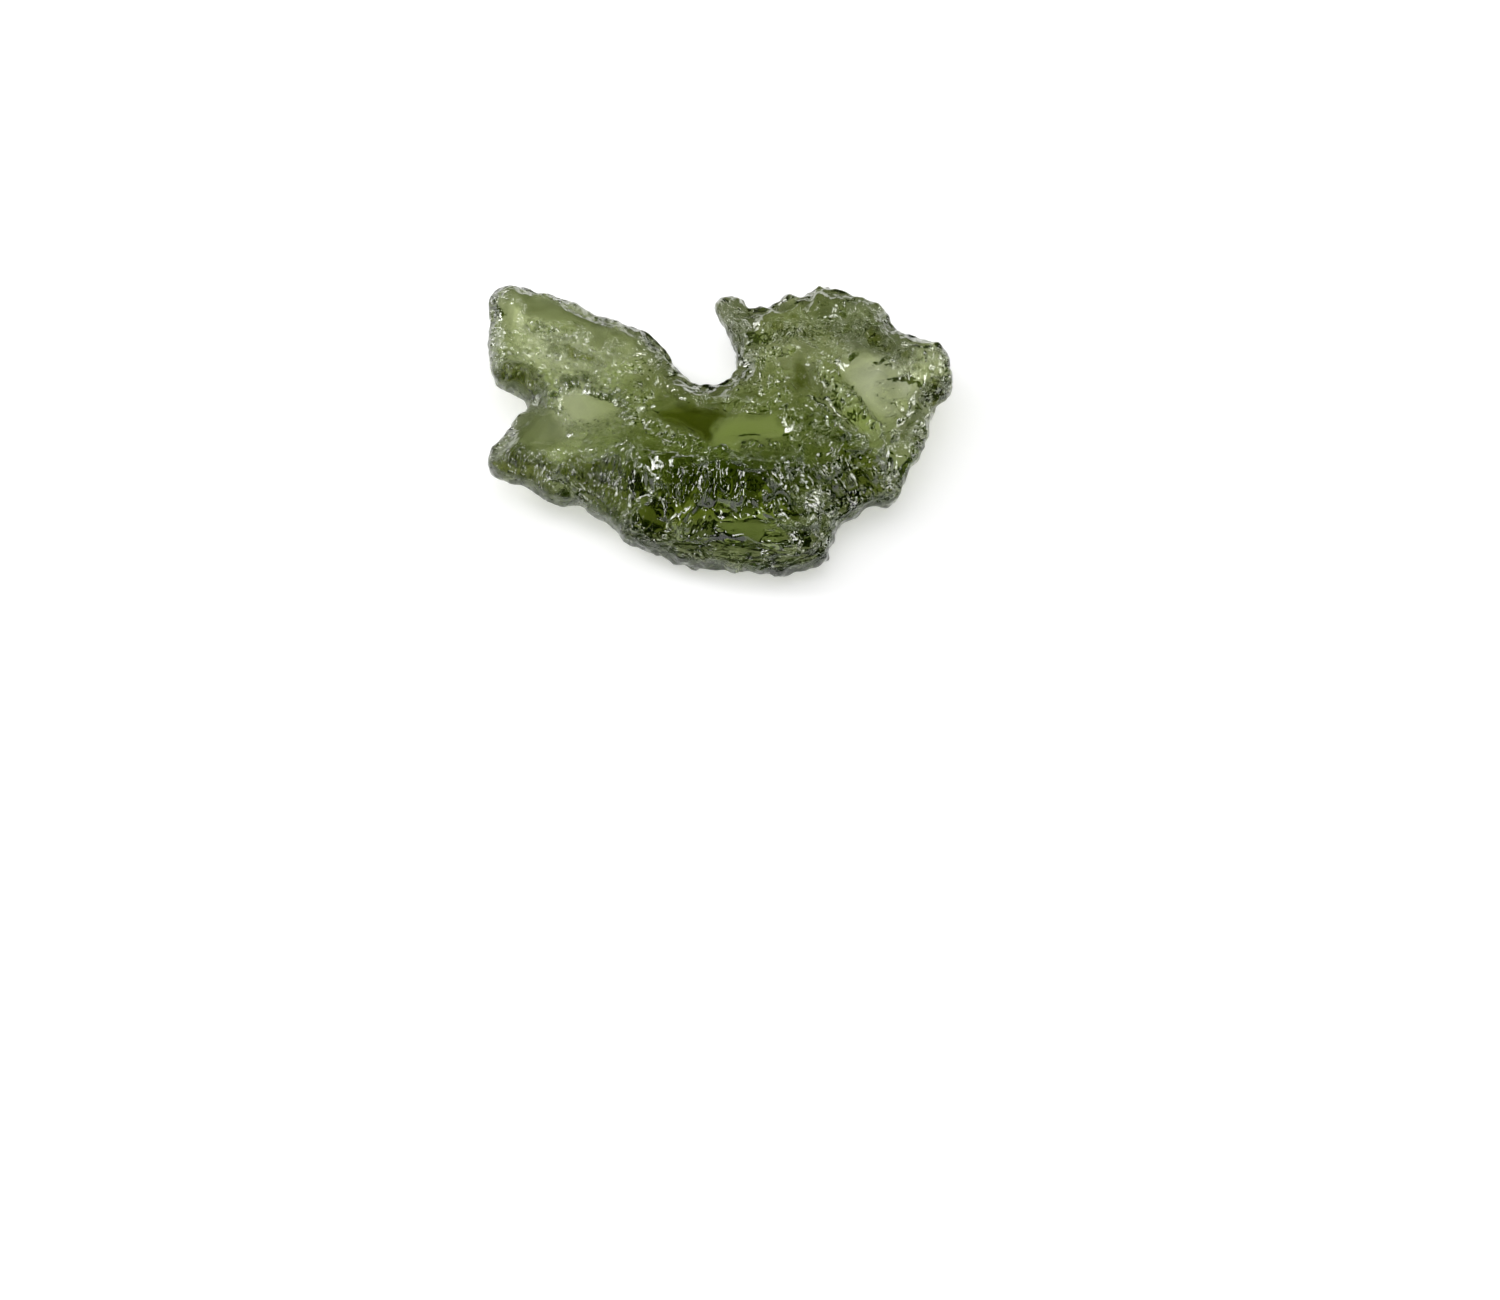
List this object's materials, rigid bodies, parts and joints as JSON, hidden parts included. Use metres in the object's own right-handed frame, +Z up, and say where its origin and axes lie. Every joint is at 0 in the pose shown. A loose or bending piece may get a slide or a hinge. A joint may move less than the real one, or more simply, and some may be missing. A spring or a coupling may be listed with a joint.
{
  "type": "moldavite",
  "caption": "Loose natural glass stone of bottle-green tektite, thick in the middle with thin etched wings and a deep rounded notch, lying flat.",
  "frame": {"origin": "under the middle of the stone's box, on the plane that the stone rests on", "axes": "+Z up as it lies, +X along the longest side towards the knobbly wing, +Y towards the side with the deep notch"},
  "size_m": [0.025, 0.0182, 0.0053],
  "materials": {
    "tektite_glass": "clear bottle-green natural glass, etched all over with pits, ridges and flow streaks, with a few smooth windows, silky to wet gloss"
  },
  "bodies": {
    "root": {"moldavite": "tektite_glass"}
  },
  "joints": []
}
